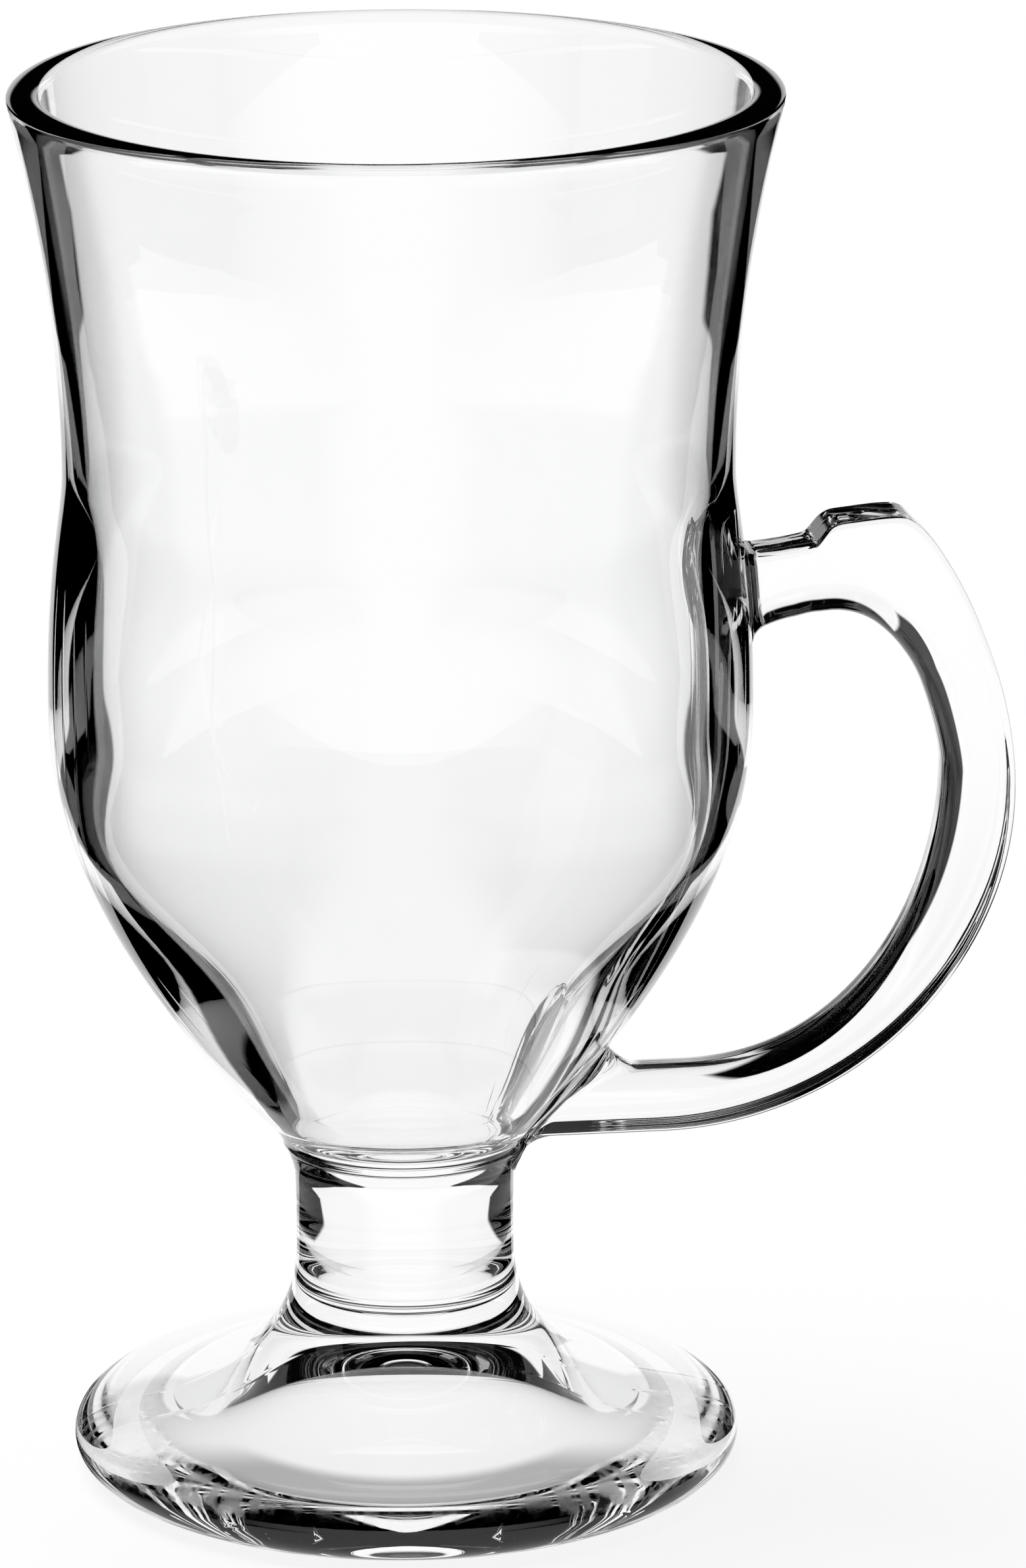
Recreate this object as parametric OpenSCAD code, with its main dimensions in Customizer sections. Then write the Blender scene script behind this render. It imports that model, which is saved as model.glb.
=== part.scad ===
// Footed glass mug for irish coffee: a flared bowl on a short solid stem and a
// domed foot, with a pressed loop handle that carries a thumb rest.
// The mug stands on z = 0, its axis is Z and the handle points along +X.
// The four pieces are made apart and hot-joined face to face.

/* [Foot] */
// Outer diameter of the foot
foot_d = 67.2; // [60:0.2:76]
// Height of the foot, from the table to its joint with the stem
foot_h = 17.5; // [16:0.5:21]
// Height at which the foot's edge is widest
foot_edge_h = 3.4; // [2.5:0.1:4.5]
// Inner diameter of the flat ring that the foot stands on
rest_inner_d = 52; // [46:0.5:54]
// Width of the flat resting ring
rest_w = 2.1; // [1.5:0.1:3]
// Height of the hollow under the foot, at the axis
hollow_h = 11.8; // [6:0.1:13]
// Diameter of the joint between the foot and the stem
foot_joint_d = 23.8; // [22.5:0.1:26]

/* [Stem] */
// Diameter of the stem at its narrowest
stem_d = 21.9; // [18:0.1:22]
// Length of the stem, between its two joints
stem_l = 12.5; // [8:0.5:20]
// Diameter of the joint between the stem and the bowl's neck
neck_d = 22; // [21:0.1:23]

/* [Bowl] */
// Height of the bowl, from its joint with the stem to the lip
bowl_h = 112; // [106:0.5:122]
// Outer diameter at the lip
lip_d = 76; // [72:0.5:82]
// Thickness of the lip
lip_w = 3.5; // [2.5:0.1:4.5]
// Height of the lip's rounding
lip_round = 1.2; // [0.8:0.1:1.6]
// Outer diameter at the waist
waist_d = 66.4; // [62:0.2:72]
// Height of the waist above the stem
waist_rise = 74; // [70:0.5:80]
// Wall thickness at the waist
waist_wall = 2.2; // [1.8:0.1:3.5]
// Outer diameter at the belly
belly_d = 70; // [66:0.2:76]
// Height of the belly above the stem
belly_rise = 49; // [46:0.5:54]
// Wall thickness at the belly
belly_wall = 4.2; // [3:0.1:5]
// Outer diameter at the heel, where the cone of the bowl starts
heel_d = 33.4; // [30:0.2:37]
// Height of the heel above the stem
heel_rise = 9.7; // [9:0.1:12]
// Horizontal wall thickness at the inner heel
heel_wall = 5.6; // [4.2:0.1:6.4]
// Outer diameter at the top of the neck
neck_top_d = 24.2; // [23:0.1:26]
// Height of the neck, between the stem and the cone
neck_h = 4; // [3:0.1:5]
// Thickness of the glass under the cavity
floor_t = 5; // [4.2:0.1:6.5]

/* [Handle] */
// Finger room between the belly and the ring, at its widest
finger_gap = 19.3; // [16:0.1:24]
// Thickness of the ring at its outermost place
ring_w = 7.2; // [6:0.1:9]
// Depth of the handle, front to back
handle_depth = 7.2; // [6:0.1:9]
// Rounding of the handle's outer edges
outer_round = 0.8; // [0.4:0.1:1.5]
// Rounding of the edges round the finger room
inner_round = 1.6; // [0.8:0.1:2]
// Height above the stem of the handle's outermost place
reach_rise = 38.7; // [37:0.5:42]
// Height above the stem of the top of the upper arm
arm_rise = 64.7; // [63:0.1:67]
// Thickness of the upper arm
arm_h = 7.1; // [6.5:0.1:8.5]
// Length of the upper arm, from the belly line to the thumb rest
arm_l = 5.5; // [4:0.1:7]
// Height of the thumb rest above the upper arm
thumb_h = 2.8; // [2:0.1:4]
// Length of the thumb rest, with its ramp
thumb_l = 8.8; // [7.5:0.1:10]
// Height above the stem of the lower arm's underside
low_rise = 4.4; // [3.9:0.1:5]
// Thickness of the lower arm
low_h = 6.4; // [5.6:0.1:7.6]
// Fillet where the upper arm meets the bowl
root_fillet = 1.4; // [0.6:0.1:2]
// Fillet above and below the lower arm, where it meets the cone and the neck
low_fillet = 3.5; // [1.5:0.1:3.6]

/* [Hidden] */
$fn = 96;

stem_z = foot_h;
seam_z = foot_h + stem_l;
lip_z = seam_z + bowl_h;
belly_r = belly_d / 2;

// Steps along each curved stretch of an outline
outline_steps = 8;
// Steps along each stretch of the handle, from the upper root to the lower one
handle_steps = [20, 5, 5, 8, 7, 9, 18, 16];
// Steps round each corner of the handle's section
corner_steps = 3;

// One smooth stretch from p to q. The leans are the tangents there, from the
// vertical and in degrees. The shares say how far each one pulls, as a share of
// the stretch's own length.
function stretch(p, q, lean_p, lean_q, shares, steps) =
    let (l = norm(q - p),
         a = p + shares[0] * l * [sin(lean_p), cos(lean_p)],
         b = q - shares[1] * l * [sin(lean_q), cos(lean_q)])
    [for (i = [0 : steps - 1]) let (t = i / steps, s = 1 - t)
        s * s * s * p + 3 * s * s * t * a + 3 * s * t * t * b + t * t * t * q];

// A chain of stretches through rows of [x, z, lean]. The steps are one number
// for every stretch, or a list with one for each.
function chain(rows, shares, steps) = concat(
    [for (i = [0 : len(rows) - 2]) each stretch(
        [rows[i][0], rows[i][1]], [rows[i + 1][0], rows[i + 1][1]],
        rows[i][2], rows[i + 1][2], shares[i], is_list(steps) ? steps[i] : steps)],
    [[rows[len(rows) - 1][0], rows[len(rows) - 1][1]]]);

// The outlines are half sections, in [radius, height, lean]. Above the waist the
// walls flare, so the leans at the lip follow from the flare of each wall.
waist_inner_r = waist_d / 2 - waist_wall;
flare_h = bowl_h - waist_rise;
outer_flare = atan2(lip_d / 2 - waist_d / 2, flare_h);
inner_flare = atan2(lip_d / 2 - lip_w - waist_inner_r, flare_h);
flare_share = [1.85, 1.5];
lip_crown_r = lip_d / 2 - lip_w / 2;
bowl_shares = [[0.4, 0.4], [0.3, 0.49], [0.35, 0.33], [0.63, 0.21], [0.41, 0.29], [0.4, 0.45]];
bowl_outline = chain([
    [neck_d / 2, seam_z, 2],
    [neck_top_d / 2, seam_z + neck_h, 21],
    [heel_d / 2, seam_z + heel_rise, 40.5],
    [belly_r, seam_z + belly_rise, 0],
    [waist_d / 2, seam_z + waist_rise, 0],
    [lip_d / 2, lip_z - lip_round, outer_flare * flare_share[0]],
    [lip_crown_r, lip_z, -90]], bowl_shares, outline_steps);

cavity_shares = [[0.45, 0.4], [0.36, 0.36], [0.33, 0.33], [0.31, 0.7], [0.3, 0.72]];
inner_heel_share = 1.19;
cavity_outline = chain([
    [lip_crown_r, lip_z, -90],
    [lip_d / 2 - lip_w, lip_z - lip_round, 180 + inner_flare * flare_share[1]],
    [waist_inner_r, seam_z + waist_rise, 181.5],
    [belly_r - belly_wall, seam_z + belly_rise, 182.5],
    [heel_d / 2 - heel_wall + heel_rise * (inner_heel_share - 1),
        seam_z + heel_rise * inner_heel_share, 218.5],
    [0, seam_z + floor_t, 270]], cavity_shares, outline_steps);

stem_shares = [[0.4, 0.4], [0.4, 0.4]];
stem_waist_share = 0.6;
stem_outline = chain([
    [foot_joint_d / 2, stem_z, -20],
    [stem_d / 2, stem_z + stem_l * stem_waist_share, 0],
    [neck_d / 2, seam_z, 2]], stem_shares, outline_steps);

foot_shares = [[0.37, 0.37], [0.32, 0.31], [0.33, 0.4]];
foot_knee_share = [0.66, 0.5];
foot_outline = chain([
    [rest_inner_d / 2 + rest_w, 0, 90],
    [foot_d / 2, foot_edge_h, 0],
    [foot_d / 2 * foot_knee_share[0], foot_h * foot_knee_share[1], -69.5],
    [foot_joint_d / 2, foot_h, -20]], foot_shares, outline_steps);

// The hollow under the foot is one swell of a cosine
hollow_steps = 14;
hollow_outline = [for (i = [0 : hollow_steps]) let (s = i / hollow_steps)
    [rest_inner_d / 2 * s, hollow_h * (1 + cos(180 * s)) / 2]];

// Outer radius of the bowl at a height
bowl_radius_rows = [for (p = bowl_outline) [p[1], p[0]]];
function bowl_radius(z) = lookup(z, bowl_radius_rows);

// The handle's edges. The upper arm falls a little towards the bowl, the ring
// starts at a shoulder past the thumb rest, and the lower arm runs back level.
// Both edges run on inside the bowl, and are cut off at its surface.
run_on = 4;
arm_fall = 0.9;
eye_fall = 4.6;
ramp_l = 3.4;
shoulder_l = 5.2;
shoulder_fall = 4.9;
eye_lift = 2.5;
low_run = 13.6;
low_slant = 3;

reach_x = belly_r + finger_gap + ring_w;
reach_z = seam_z + reach_rise;
arm_z = seam_z + arm_rise;
arm_root_x = bowl_radius(arm_z) - run_on;
notch_x = belly_r + arm_l;
thumb_end_x = notch_x + thumb_l;
thumb_z = arm_z + thumb_h;
shoulder_x = thumb_end_x + shoulder_l;
shoulder_z = thumb_z - shoulder_fall;
low_z = seam_z + low_rise;
low_run_x = bowl_radius(low_z) + low_run;
outer_shares = [[0.33, 0.33], [0.31, 0.5], [0.33, 0.33], [0.33, 0.2],
    [0.37, 0.3], [0.51, 0.12], [0.37, 0.4], [0.33, 0.33]];
outer_mid_share = [0.63, 0.4];
ramp_share = 0.85;
outer_edge = chain([
    [arm_root_x, arm_z - arm_fall, 88],
    [notch_x, arm_z, 77],
    [notch_x + ramp_l, arm_z + thumb_h * ramp_share, 85],
    [thumb_end_x, thumb_z, 91],
    [shoulder_x, shoulder_z, 148],
    [shoulder_x + (reach_x - shoulder_x) * outer_mid_share[0],
        shoulder_z + (reach_z - shoulder_z) * outer_mid_share[1], 160],
    [reach_x, reach_z, 180],
    [low_run_x, low_z, 270],
    [bowl_radius(low_z) - run_on, low_z, 270]], outer_shares, handle_steps);

eye_x = belly_r + finger_gap;
eye_top_z = arm_z - arm_h;
eye_low_z = low_z + low_h;
eye_l = eye_x - notch_x;
eye_h = eye_top_z - reach_z;
inner_shares = [[0.33, 0.33], [0.33, 0.33], [0.33, 0.33], [0.35, 0.35],
    [0.33, 0.33], [0.31, 0.21], [0.36, 0.42], [0.33, 0.33]];
eye_arm_share = [0.29, 0.12];
eye_x_shares = [0.06, 0.24, 0.53, 0.84];
eye_z_shares = [0.005, 0, 0.086, 0.396];
inner_edge = chain([
    [arm_root_x, eye_top_z - eye_fall, 62],
    [notch_x - arm_l * eye_arm_share[0], eye_top_z - eye_fall * eye_arm_share[1], 80],
    [notch_x + eye_l * eye_x_shares[0], eye_top_z - eye_h * eye_z_shares[0], 87],
    [notch_x + eye_l * eye_x_shares[1], eye_top_z - eye_h * eye_z_shares[1], 96],
    [notch_x + eye_l * eye_x_shares[2], eye_top_z - eye_h * eye_z_shares[2], 129],
    [notch_x + eye_l * eye_x_shares[3], eye_top_z - eye_h * eye_z_shares[3], 158],
    [eye_x, reach_z + eye_lift, 180],
    [low_run_x + low_slant, eye_low_z, 270],
    [bowl_radius(eye_low_z) - run_on, eye_low_z, 270]], inner_shares, handle_steps);

// The section at one station is a rectangle with rounded corners between the two
// edge points. Near the bowl each of its points moves out along its own normal,
// up or down and sideways, which makes the fillet. It is larger above and below
// the lower arm.
side_signs = [[1, 1], [-1, 1], [-1, -1], [1, -1]];
function fillet_size(a, level) = level > 0 ? root_fillet
    : root_fillet + (low_fillet - root_fillet) * cos(a) * cos(a);
function swell(d, fillet) = d >= fillet ? 0
    : let (s = 1 - max(d, 0) / fillet) fillet * (1 - sqrt(1 - s * s));
function section(o, i) =
    let (m = (o + i) / 2, u = (o - i) / norm(o - i), w = norm(o - i) / 2, level = sign(u[1]))
    [for (q = [0 : 3]) for (k = [0 : corner_steps])
        let (a = 90 * (q + k / corner_steps), side = side_signs[q],
             round = side[0] > 0 ? outer_round : inner_round,
             p = m + u * (side[0] * (w - round) + round * cos(a)),
             y = side[1] * (handle_depth / 2 - round) + round * sin(a),
             fillet = fillet_size(a, level), up = level * cos(a),
             g = swell(norm([p[0], y]) - bowl_radius(p[1] + fillet * up), fillet))
        [p[0], y + g * sin(a), p[1] + g * up]];

module loft(rings) {
    n = len(rings[0]);
    points = [for (r = rings) each r];
    first = [for (k = [0 : n - 1]) k];
    last = [for (k = [n - 1 : -1 : 0]) (len(rings) - 1) * n + k];
    sides = [for (j = [0 : len(rings) - 2]) for (k = [0 : n - 1])
        let (a = j * n + k, b = j * n + (k + 1) % n, c = b + n, d = a + n)
        each [[a, d, b], [b, d, c]]];
    polyhedron(points, concat([first], sides, [last]), convexity = 6);
}

// The outside of the stem and the bowl, filled in, that the handle is cut to
module outer_body() rotate_extrude()
    polygon(concat([[0, stem_z]], stem_outline, bowl_outline, [[0, lip_z]]));

module bowl() color("azure", 0.55) rotate_extrude()
    polygon(concat([[0, seam_z]], bowl_outline, cavity_outline));

module stem() color("lightcyan", 0.6) rotate_extrude()
    polygon(concat([[0, stem_z]], stem_outline, [[0, seam_z]]));

module foot() color("azure", 0.6) rotate_extrude()
    polygon(concat(hollow_outline, foot_outline, [[0, foot_h]]));

module handle() color("lightcyan", 0.55) difference() {
    loft([for (j = [0 : len(outer_edge) - 1]) section(outer_edge[j], inner_edge[j])]);
    outer_body();
}

bowl();
stem();
foot();
handle();
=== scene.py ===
"""Dresses the footed irish coffee mug: the glass bowl, stem, foot and handle, and
the light table that it is shown on. Each piece stands for the CAD node of the same
name and is made from the same sizes, more finely."""
import math

import bmesh
import bpy
import numpy as np
from mathutils import Matrix, Vector
from mathutils.geometry import delaunay_2d_cdt


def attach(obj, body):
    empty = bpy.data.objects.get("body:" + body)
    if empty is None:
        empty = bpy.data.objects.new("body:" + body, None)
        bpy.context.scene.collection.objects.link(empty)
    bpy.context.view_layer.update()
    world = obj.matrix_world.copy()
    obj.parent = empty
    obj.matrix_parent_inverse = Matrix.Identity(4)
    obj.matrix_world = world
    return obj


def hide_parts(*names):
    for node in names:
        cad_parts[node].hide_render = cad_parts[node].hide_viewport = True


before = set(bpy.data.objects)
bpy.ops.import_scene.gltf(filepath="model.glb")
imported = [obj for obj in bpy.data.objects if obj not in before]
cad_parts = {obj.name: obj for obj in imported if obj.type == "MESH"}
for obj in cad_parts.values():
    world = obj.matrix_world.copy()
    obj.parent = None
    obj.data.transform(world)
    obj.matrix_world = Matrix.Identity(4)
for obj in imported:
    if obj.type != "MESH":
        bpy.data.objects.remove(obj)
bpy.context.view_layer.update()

bl_info = {
    "name": "Footed glass mug",
    "version": (1, 0, 0),
    "blender": (4, 5, 0),
    "location": "View3D > Sidebar > Glass mug",
    "description": "Makes a footed irish coffee mug of clear pressed glass and its stage",
    "category": "Object",
}

# How finely the pieces are made
COLUMNS = 256  # columns of a turned piece
FINE_STEPS = 80  # steps on each stretch where the bowl's outline is looked up
CORNER_STEPS = 10  # steps round each corner of the handle's section
TOP_ROWS, LOW_ROWS = 26, 44  # rows of the handle from its roots to its plain stretch
MERGE = 1e-7  # points nearer than this, in metres, are one point

# Where the handle's roots lie in the bowl's outside
ON_SKIN = 0.0004  # a point this near the outline's radius is on the bowl's outside
ROOT_MARGIN = 0.0012  # how far round a root the bowl's normals are set
WINDOW_MARGIN = 0.9  # how far the window is opened past a root, in millimetres
WINDOW_CLEAR = 0.22  # how near a root's ring the bowl's own points go, in millimetres

# Smaller sizes of the handle's edges
SHOULDER_OUT, SHOULDER_DOWN = 0.0052, 0.0049  # from the thumb rest to the shoulder
THUMB_STEP = 0.0034  # length of the step up to the thumb rest
LOW_RUN = 0.0136  # length of the lower arm's level stretch
EYE_FALL = 0.0046  # how far the upper arm's underside falls towards its root


def length(name, description, default):
    """A size in metres."""
    return bpy.props.FloatProperty(
        name=name, description=description, default=default, min=0.0, soft_max=1.0,
        subtype="DISTANCE", unit="LENGTH", precision=5)


def amount(name, description, default, most=10.0):
    """A plain number."""
    return bpy.props.FloatProperty(
        name=name, description=description, default=default, min=0.0, soft_max=most, precision=4)


def turn(name, description, default):
    """An angle, given here in degrees."""
    return bpy.props.FloatProperty(
        name=name, description=description, default=math.radians(default),
        subtype="ANGLE", unit="ROTATION", precision=3)


def tint(name, description, default):
    """A colour."""
    return bpy.props.FloatVectorProperty(
        name=name, description=description, default=default, size=4, min=0.0, max=1.0,
        subtype="COLOR")


class GlassMugFoot(bpy.types.PropertyGroup):
    """Sizes of the foot and the stem"""
    foot_d: length("Foot diameter", "Outer diameter of the foot", 0.0672)
    foot_h: length("Foot height", "From the table to the joint with the stem", 0.0175)
    edge_h: length("Edge height", "Where the foot's edge is widest", 0.0034)
    rest_d: length("Resting ring", "Inner diameter of the ring the foot stands on", 0.052)
    rest_w: length("Resting width", "Width of the flat resting ring", 0.0021)
    hollow_h: length("Hollow", "Height of the hollow under the foot", 0.0118)
    joint_d: length("Foot joint", "Diameter of the joint with the stem", 0.0238)
    stem_d: length("Stem diameter", "The stem at its narrowest", 0.0219)
    stem_l: length("Stem length", "Length of the stem between its joints", 0.0125)
    neck_d: length("Neck joint", "Diameter of the joint of stem and bowl", 0.022)


class GlassMugBowl(bpy.types.PropertyGroup):
    """Sizes of the bowl"""
    bowl_h: length("Bowl height", "From the joint with the stem to the lip", 0.112)
    lip_d: length("Lip diameter", "Outer diameter at the lip", 0.076)
    lip_w: length("Lip thickness", "Thickness of the lip", 0.0035)
    lip_round: length("Lip rounding", "Height of the lip's rounding", 0.0012)
    waist_d: length("Waist diameter", "Outer diameter at the waist", 0.0664)
    waist_rise: length("Waist height", "Height of the waist above the stem", 0.074)
    waist_wall: length("Waist wall", "Wall thickness at the waist", 0.0022)
    belly_d: length("Belly diameter", "Outer diameter at the belly", 0.07)
    belly_rise: length("Belly height", "Height of the belly above the stem", 0.049)
    belly_wall: length("Belly wall", "Wall thickness at the belly", 0.0042)
    heel_d: length("Heel diameter", "Where the cone of the bowl starts", 0.0334)
    heel_rise: length("Heel height", "Height of the heel above the stem", 0.0097)
    heel_wall: length("Heel wall", "Wall thickness at the inner heel", 0.0056)
    neck_top_d: length("Neck top", "Diameter at the top of the neck", 0.0242)
    neck_h: length("Neck height", "From the stem to the cone", 0.004)
    floor_t: length("Glass floor", "Thickness of the glass under the cavity", 0.005)
    ridge: length("Joint ridge", "Height of the fine ridge left round the neck", 0.00012)


class GlassMugHandle(bpy.types.PropertyGroup):
    """Sizes of the handle"""
    finger_gap: length("Finger room", "From the belly to the ring", 0.0193)
    ring_w: length("Ring thickness", "At the handle's outermost place", 0.0072)
    depth: length("Depth", "From front to back", 0.0072)
    outer_round: length("Outer rounding", "Rounding of the outer edges", 0.0008)
    low_round: length("Lower rounding", "Rounding of the outer edges under the lower arm", 0.0010)
    inner_round: length("Inner rounding", "Rounding round the finger room", 0.0029)
    reach_rise: length("Reach height", "Outermost place above the stem", 0.0387)
    arm_rise: length("Arm height", "Top of the upper arm above the stem", 0.0647)
    arm_h: length("Arm thickness", "Thickness of the upper arm", 0.0071)
    arm_l: length("Arm length", "From the belly line to the thumb rest", 0.0055)
    thumb_h: length("Thumb rest", "Height of the thumb rest above the arm", 0.0028)
    thumb_l: length("Thumb length", "Length of the thumb rest", 0.0088)
    low_rise: length("Low arm height", "Underside of the lower arm above the stem", 0.0044)
    low_h: length("Low arm", "Thickness of the lower arm", 0.0064)
    root_fillet: length("Root fillet", "Where the upper arm meets the bowl", 0.0014)
    low_fillet: length("Low fillet", "Above and below the lower arm", 0.0035)
    run_on: length("Run-on", "How far the edges run on into the bowl", 0.004)


class GlassMugFinish(bpy.types.PropertyGroup):
    """The glass"""
    clear: tint("Clear glass", "Colour of the glass", (0.996, 0.998, 0.997, 1.0))
    cool: tint("Thick glass", "Colour where the melt was less even", (0.986, 0.992, 0.989, 1.0))
    ior: amount("IOR", "Index of refraction of soda-lime glass", 1.52, 3.0)
    wave: length("Wave", "Height of the pressed surface's slow waves", 0.000003)
    wave_l: length("Wave length", "Length of these waves", 0.016)
    peel: length("Peel", "Height of the mould's fine texture", 0.0000004)
    peel_l: length("Peel length", "Length of that texture", 0.0016)
    seam: length("Mould seam", "Height of the mould's seam, fire polished", 0.00001)
    seam_top: length("Seam top", "Height above which fire polishing has taken the seam away", 0.11)
    seam_w: length("Seam width", "Width of the mould's seam", 0.0005)
    polish: amount("Polish", "Roughness of the polished glass", 0.004, 1.0)
    wear: amount("Wear", "Roughness where the foot stands", 0.16, 1.0)
    wear_h: length("Wear height", "How far up the foot is worn", 0.0004)


class GlassMugStage(bpy.types.PropertyGroup):
    """The camera and the light table"""
    distance: length("Camera distance", "From the mug's axis, at mid height", 0.9164)
    elevation: turn("Elevation", "Camera angle above the horizon", 16.316)
    azimuth: turn("Azimuth", "Camera angle round the mug", -7.0)
    roll: turn("Roll", "Tilt of the picture", -0.2557)
    aim_x: length("Aim across", "Where the camera looks, across", 0.0111)
    aim_z: length("Aim height", "Where the camera looks, up", 0.07097)
    lens: amount("Lens", "Focal length in millimetres", 211.48, 400.0)
    floor_r: length("Floor", "Radius of the floor", 6.0)
    shadow: amount("Shadow", "Share of the floor's white that the lamp gives", 0.12, 1.0)
    strip_w: length("Strip half width", "Half width of the white strip at the mug", 0.025)
    strip_least: length("Least half width", "Its half width before the mug", 0.028)
    strip_spread: amount("Strip spread", "How fast the strip widens behind the mug", 0.232, 2.0)
    strip_turn: amount("Strip turn", "How far the strip leans to the left, as a slope", 0.04, 1.0)
    swell: length("Swell", "How much wider the strip is some way behind the mug", 0.046)
    swell_start: length("Swell start", "Where that starts", 0.08)
    swell_end: length("Swell end", "Where that ends", 0.5)
    patch: length("White patch", "Radius of the half disc of white on the right", 0.05)
    # Painted shadow: how much the crescent under the foot dims the light table
    under: amount("Under the foot", "Share of the light lost before the axis", 0.5, 1.0)
    soft: amount("Edges", "Softness of the edges, as a share of the distance", 0.03, 1.0)
    front_y: length("Front start", "Distance before the mug where the floor is lit again", 0.03)
    front_slope: amount("Front slope", "How that distance falls to the sides", 0.5, 2.0)
    front_r: length("Front radius", "Nearest place of the lit front floor", 0.17)
    back_y: length("Backdrop", "Distance of the backdrop", 0.9)
    back_h: length("Backdrop height", "Height of the lit backdrop", 0.3)
    back_spread: amount("Backdrop spread", "How fast the backdrop widens upwards", 1.3, 3.0)
    room: amount("Room", "Brightness of the room above", 0.002, 1.0)
    front: amount("Front panel", "Brightness of the panel behind the camera", 1.0, 2.0)
    front_w: length("Front width", "Half width of the panel, which fades to its sides", 5.0)
    left: amount("Left panel", "Brightness of the soft box on the left", 0.4, 2.0)
    right: amount("Right panel", "Brightness of the soft box on the right", 0.2, 2.0)


# Node trees

class Wire:
    """A socket that stands in expressions; each sum or product adds its Math node."""

    def __init__(self, net, socket):
        self.net, self.socket = net, socket

    def pick(self, name):
        """Another output of the same node."""
        return Wire(self.net, self.socket.node.outputs[name])

    def math(self, operation, *values):
        """A Math node on these values."""
        return self.net.add("ShaderNodeMath", {"operation": operation}, dict(enumerate(values)))

    def __add__(self, other):
        return self.math("ADD", self, other)

    def __radd__(self, other):
        return self.math("ADD", other, self)

    def __sub__(self, other):
        return self.math("SUBTRACT", self, other)

    def __rsub__(self, other):
        return self.math("SUBTRACT", other, self)

    def __mul__(self, other):
        return self.math("MULTIPLY", self, other)

    def __rmul__(self, other):
        return self.math("MULTIPLY", other, self)

    def __truediv__(self, other):
        return self.math("DIVIDE", self, other)

    def __abs__(self):
        return self.math("ABSOLUTE", self)

    def most(self, other):
        return self.math("MAXIMUM", self, other)

    def ease(self, low, high):
        """0 below low and 1 above high, with a smooth step between."""
        return self.net.add("ShaderNodeMapRange", {"interpolation_type": "SMOOTHSTEP"},
                            {"Value": self, "From Min": low, "From Max": high})


class Net:
    """A node tree, and the one way in which nodes are added to it."""

    def __init__(self, tree):
        self.tree = tree

    def add(self, kind, settings=None, sockets=None, out=0):
        """Adds a node, sets its settings and then its sockets, and gives one output."""
        node = self.tree.nodes.new(kind)
        for name, value in (settings or {}).items():
            setattr(node, name, value)
        for name, value in (sockets or {}).items():
            if isinstance(value, Wire):
                self.tree.links.new(value.socket, node.inputs[name])
            else:
                node.inputs[name].default_value = value
        return Wire(self, node.outputs[out]) if node.outputs else node


def new_material(name):
    """An empty node material and its net."""
    material = bpy.data.materials.new(name)
    material.use_nodes = True
    material.node_tree.nodes.clear()
    return material, Net(material.node_tree)


def finish_material(net, shader):
    """Joins the shader to the material's output."""
    net.add("ShaderNodeOutputMaterial", None, {"Surface": shader})


def clear_glass():
    """Pressed and fire-polished soda-lime glass: slow waves, a fine mould texture, a
    melted mould seam in the handle's plane, and a worn ring where the foot stands."""
    made = bpy.data.materials.get("clear_glass_pressed")
    if made:
        return made
    s = bpy.context.scene.glass_mug_finish
    material, net = new_material("clear_glass_pressed")
    place = net.add("ShaderNodeTexCoord").pick("Object")
    xyz = net.add("ShaderNodeSeparateXYZ", None, {0: place})
    y, z = xyz.pick("Y"), xyz.pick("Z")
    blotch_size, grain_size, seam_fade = 0.03, 0.0011, 0.02

    def noise(size, detail=2.0):
        return net.add("ShaderNodeTexNoise", None,
                       {"Vector": place, "Scale": 1 / size, "Detail": detail, "Roughness": 0.45})

    slow, fine, blotch = noise(s.wave_l, 1.0), noise(s.peel_l), noise(blotch_size, 3.0)
    seam = (1 - abs(y).ease(0.0, s.seam_w)) * (1 - z.ease(s.seam_top - seam_fade, s.seam_top))
    worn = (1 - z.ease(0.0, s.wear_h)) * noise(grain_size, 4.0).ease(0.35, 0.6)
    height = slow * s.wave + fine * s.peel + seam * s.seam + worn * s.peel
    bump = net.add("ShaderNodeBump", None, {"Strength": 1.0, "Distance": 1.0, "Height": height})
    colour = net.add("ShaderNodeMix", {"data_type": "RGBA"},
                     {0: blotch.ease(0.35, 0.75), 6: s.clear, 7: s.cool}, out=2)
    rough = s.polish * fine + worn * s.wear
    glass = net.add("ShaderNodeBsdfPrincipled", None, {
        "Base Color": colour, "Roughness": rough, "IOR": s.ior,
        "Transmission Weight": 1.0, "Normal": bump})
    finish_material(net, glass)
    return material


def fused_joint():
    """The face where two pieces of glass are melted together: nothing shows there."""
    made = bpy.data.materials.get("fused_joint")
    if made:
        return made
    material, net = new_material("fused_joint")
    finish_material(net, net.add("ShaderNodeBsdfTransparent"))
    return material


# Outlines

def chain_at(rows, pulls, t):
    """Points on a chain of smooth stretches through rows of (x, z, lean). The leans
    are tangents, from the vertical and in degrees, and pulls are shares of each
    stretch's length. The whole part of t is the stretch, the rest the place on it."""
    rows, pulls, t = np.array(rows, float), np.array(pulls, float), np.atleast_1d(t)
    i = np.clip(t.astype(int), 0, len(rows) - 2)
    s = (t - i)[:, None]
    lean = np.radians(rows[:, 2])
    way = np.stack([np.sin(lean), np.cos(lean)], axis=1)
    p, q = rows[i, :2], rows[i + 1, :2]
    long = np.linalg.norm(q - p, axis=1)[:, None]
    a, b = p + pulls[i, :1] * long * way[i], q - pulls[i, 1:] * long * way[i + 1]
    return (1 - s)**3 * p + 3 * (1 - s)**2 * s * a + 3 * (1 - s) * s * s * b + s**3 * q


def chain(rows, pulls, steps):
    """The whole chain, with the same number of steps on each stretch."""
    return chain_at(rows, pulls, np.arange((len(rows) - 1) * steps + 1) / steps)


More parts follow.
